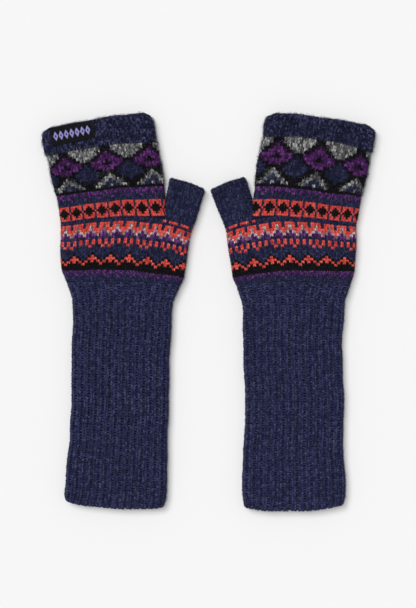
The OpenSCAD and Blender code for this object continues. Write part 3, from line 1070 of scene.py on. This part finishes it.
# %% Arms
WRIST_COLUMNS = 64
WRIST_TICK_HAIRS, WRIST_HAIRS, RIB_HAIRS, ARM_HEM_HAIRS = 1200, 1500, 2200, 500
RIB_PARTS = (("arm_rib_upper", (RIB_ROW, RIB_MIDDLE)), ("arm_rib_lower", (RIB_MIDDLE, ARM_HEM_ROW)))
for side, glove in GLOVES.items():
    arm = Tube(glove, arm_rows(glove), RIB_COLUMNS, edge=LAST_ROW, pitch=2.12, on_arm=True,
               wide=RIB_PITCH[0])
    palm = Tube(glove, rows_of(side)[1], WRIST_COLUMNS, wide=FINE_PITCH[0])
    cloth, ribs, columns = Knitting(), (0, RIB_COLUMNS), (0, WRIST_COLUMNS)
    rows, rib_rows = (WRIST_TICK_ROW, WRIST_ROW), (WRIST_ROW, RIB_ROW)
    chart, tall = knit_fine(cloth, palm, rows, columns, TICKS, WRIST_TICK_START)
    backing(cloth, palm, rows, columns)
    rib(cloth, arm, rib_rows)
    backing(cloth, arm, rib_rows, ribs, dent=valley)
    halo(cloth, palm, rows, columns, WRIST_TICK_HAIRS, chart, length=2.0, tall=tall)
    halo(cloth, arm, rib_rows, ribs, WRIST_HAIRS, ribbed)
    place_piece(cloth, side, "wrist_band_knit", "wrist_band", joint=WRIST)
    for name, rows in RIB_PARTS:
        cloth = Knitting()
        rib(cloth, arm, rows)
        backing(cloth, arm, rows, ribs, dent=valley)
        halo(cloth, arm, rows, ribs, RIB_HAIRS, ribbed)
        place_piece(cloth, side, f"{name}_knit", "arm_rib", body="arm")
    cloth, rows = Knitting(), (ARM_HEM_ROW, LAST_ROW + TURNED)
    rib(cloth, arm, rows)
    backing(cloth, arm, rows, ribs, heights=(SKIN,), dent=valley)
    halo(cloth, arm, (ARM_HEM_ROW, LAST_ROW + FUZZY), ribs, ARM_HEM_HAIRS, ribbed)
    place_piece(cloth, side, "arm_hem_knit", "arm_hem", body="arm")

# %% [markdown]
# ## The label
# A small black satin label is sewn to the left glove's hem, following its top edge. It carries
# a plain woven ornament, a row of lilac lozenges, and a few stitches hold each end. Threads this
# fine could be modelled one by one, but bump in the satin shows them, and so does its colour, which
# is painted lighter along each thread's crown and darker in the groove beside it, as painted
# highlight and shade.

# %% Label satin
LABEL_WIDTH, LABEL_HEIGHT, LABEL_THICK = 37.0, 15.4, 0.45
# Half a lozenge's width, how steeply its sides lean, and how far its outline and its hole reach.
LOZENGE, LEAN_ACROSS, LEAN_UP, OUTLINE, HOLE = 2.3, 0.52, 0.27, (1.16, 1.04), (0.30, 0.42)
# How closely the threads lie across and along the label.
WARP, WEFT = 16.0, 14.0


def satin():
    p = Paint("label_satin")
    weave = p.node("ShaderNodeUVMap", {"uv_map": "Weave"})
    across = p.node("ShaderNodeSeparateXYZ", {}, {0: weave})
    up = p.node("ShaderNodeSeparateXYZ", {}, {0: weave}, 1)
    cell = p.node("ShaderNodeMath", {"operation": "PINGPONG"}, {0: across + 0.15, 1: LOZENGE})
    off = p.node("ShaderNodeMath", {"operation": "ABSOLUTE"}, {0: up - LABEL_HEIGHT / 2})
    reach = cell * LEAN_ACROSS + off * LEAN_UP
    ends = p.ramp(across, 1.6, 2.0) * p.ramp(across, LABEL_WIDTH - 2.5, LABEL_WIDTH - 2.8)
    ornament = p.ramp(reach, *OUTLINE) * p.ramp(reach, *HOLE) * ends
    warp = p.node("ShaderNodeMath", {"operation": "SINE"}, {0: across * WARP})
    weft = p.node("ShaderNodeMath", {"operation": "SINE"}, {0: up * WEFT})
    # The ground and the lilac go lighter and darker across each thread: painted highlight and
    # painted shade of the threads' round.
    ground = p.blend(p.ramp(warp, -1.0, 1.0), srgb(5, 5, 7), srgb(13, 13, 16))
    lilac = p.blend(p.ramp(weft, -1.0, 1.0), srgb(128, 122, 190), srgb(176, 170, 232))
    height = warp * 0.4 + weft * 0.4 + ornament * 1.5
    bump = p.node("ShaderNodeBump", {}, {"Strength": 0.5, "Distance": 0.0002, "Height": height})
    return p.finish(Base_Color=p.blend(ornament, ground, lilac), Roughness=0.6, Normal=bump,
                    Specular_IOR_Level=0.15)


# %% [markdown]
# The label is one closed sheet with a top, an underside and a rim. It lies a little askew, goes
# up and down with the cloth under it, and droops over the rolled edge of the hem.

# %% Label sheet
LABEL_TURN = math.radians(3.2)
LABEL_UP, LABEL_LIFT = 1.0, 1.05
ROLL_FROM, DROOP = 4.5, 0.05
COUNT_ACROSS, COUNT_UP = 56, 22


def on_hem(plan):
    """Points of the label's own plan, in mm from its middle, set on the left hem."""
    low, high = (np.array(corner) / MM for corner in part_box("left_label"))
    glove = GLOVES["left"]
    cos, sin = math.cos(LABEL_TURN), math.sin(LABEL_TURN)
    local = plan[:, :2] @ np.array(((cos, sin), (-sin, cos))) + (0, LABEL_UP)
    flat = (low + high)[:2] / 2 + local[:, :1] * glove.across + local[:, 1:] * glove.along
    _, wave = wander(flat, 1.0)
    droop = DROOP * np.maximum(local[:, 1] - ROLL_FROM, 0) ** 2
    return np.c_[flat, HEIGHT + LABEL_LIFT + wave - droop + plan[:, 2]] * MM


def new_piece(name, points, faces, finish):
    """A mesh from plain lists, with one material, as an object in the scene."""
    mesh = bpy.data.meshes.new(name)
    mesh.from_pydata(points, [], faces)
    mesh.materials.append(finish)
    made = bpy.data.objects.new(name, mesh)
    scene.collection.objects.link(made)
    return made


u, v = (a.ravel() for a in np.meshgrid(np.linspace(-0.5, 0.5, COUNT_ACROSS) * LABEL_WIDTH,
                                       np.linspace(-0.5, 0.5, COUNT_UP) * LABEL_HEIGHT))
ripple = 0.12 * np.sin(u * 0.7) * np.sin(v * 0.35)
points = on_hem(np.concatenate([np.c_[u, v, LABEL_THICK + ripple], np.c_[u, v, ripple]]))
grid = np.arange(len(u)).reshape(COUNT_UP, COUNT_ACROSS)
corners = (grid[:-1, :-1], grid[:-1, 1:], grid[1:, 1:], grid[1:, :-1])
tops = np.stack([c.ravel() for c in corners], 1)
unders = tops[:, ::-1] + len(u)
rim = np.concatenate([grid[0], grid[1:, -1], grid[-1, -2::-1], grid[-2:0:-1, 0]])
onward = np.roll(rim, -1)
walls = np.stack([rim, rim + len(u), onward + len(u), onward], 1)
faces = np.concatenate([tops, walls, unders]).tolist()
label = new_piece("left_label_woven", points.tolist(), faces, satin())
weave = label.data.uv_layers.new(name="Weave")
for loop in label.data.loops:
    place = loop.vertex_index % len(u)
    weave.data[loop.index].uv = (u[place] + LABEL_WIDTH / 2, v[place] + LABEL_HEIGHT / 2)
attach(label, "left_fingers")
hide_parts("left_label")
print("the label has", len(faces), "faces")

# %% [markdown]
# Six stitches of dark thread hold each end of the label. Each goes over the edge and down.

# %% Label stitches
STITCH = spindle([(-0.5, 0, 0.0), (-0.42, 0, 0.35), (-0.15, 0, 0.5), (0.15, 0, 0.5),
                  (0.42, 0, 0.35), (0.5, 0, 0.0)], [0.14, 0.17, 0.17, 0.14], 0.9)
STITCH_SCALE, STITCH_COUNT, STITCH_STEP = (2.0, 1.6, 1), 6, 2.35
thread_points, thread_faces = [], []
for end in (-1, 1):
    for step in range(STITCH_COUNT):
        offset = (end * (LABEL_WIDTH / 2 - 0.2), (step - (STITCH_COUNT - 1) / 2) * STITCH_STEP, 0.3)
        thread_faces += (STITCH[1] + len(thread_points)).tolist()
        thread_points += on_hem(STITCH[0] * STITCH_SCALE + offset).tolist()
dark = Paint("label_thread").finish(Base_Color=srgb(26, 24, 40), Roughness=0.6)
thread = new_piece("left_label_thread", thread_points, thread_faces, dark)
thread.data.polygons.foreach_set("use_smooth", np.ones(len(thread_faces), bool))
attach(thread, "left_fingers")
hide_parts("left_label_stitches")
print("the label is held by", 2 * STITCH_COUNT, "stitches")

# %% [markdown]
# ## The table
# The gloves lie on a smooth pale board, which is staging and not part of the model. It is far
# larger than the view, so that its edges never show.

# %% Table
REACH, TOP = 3, -0.0007
pale = Paint("pale_board").finish(Base_Color=srgb(249, 249, 249), Roughness=0.7,
                                  Specular_IOR_Level=0.2)
around = [(x * REACH, y * REACH, TOP) for x, y in ((-1, -1), (1, -1), (1, 1), (-1, 1))]
table = new_piece("table", around, [(0, 1, 2, 3)], pale)
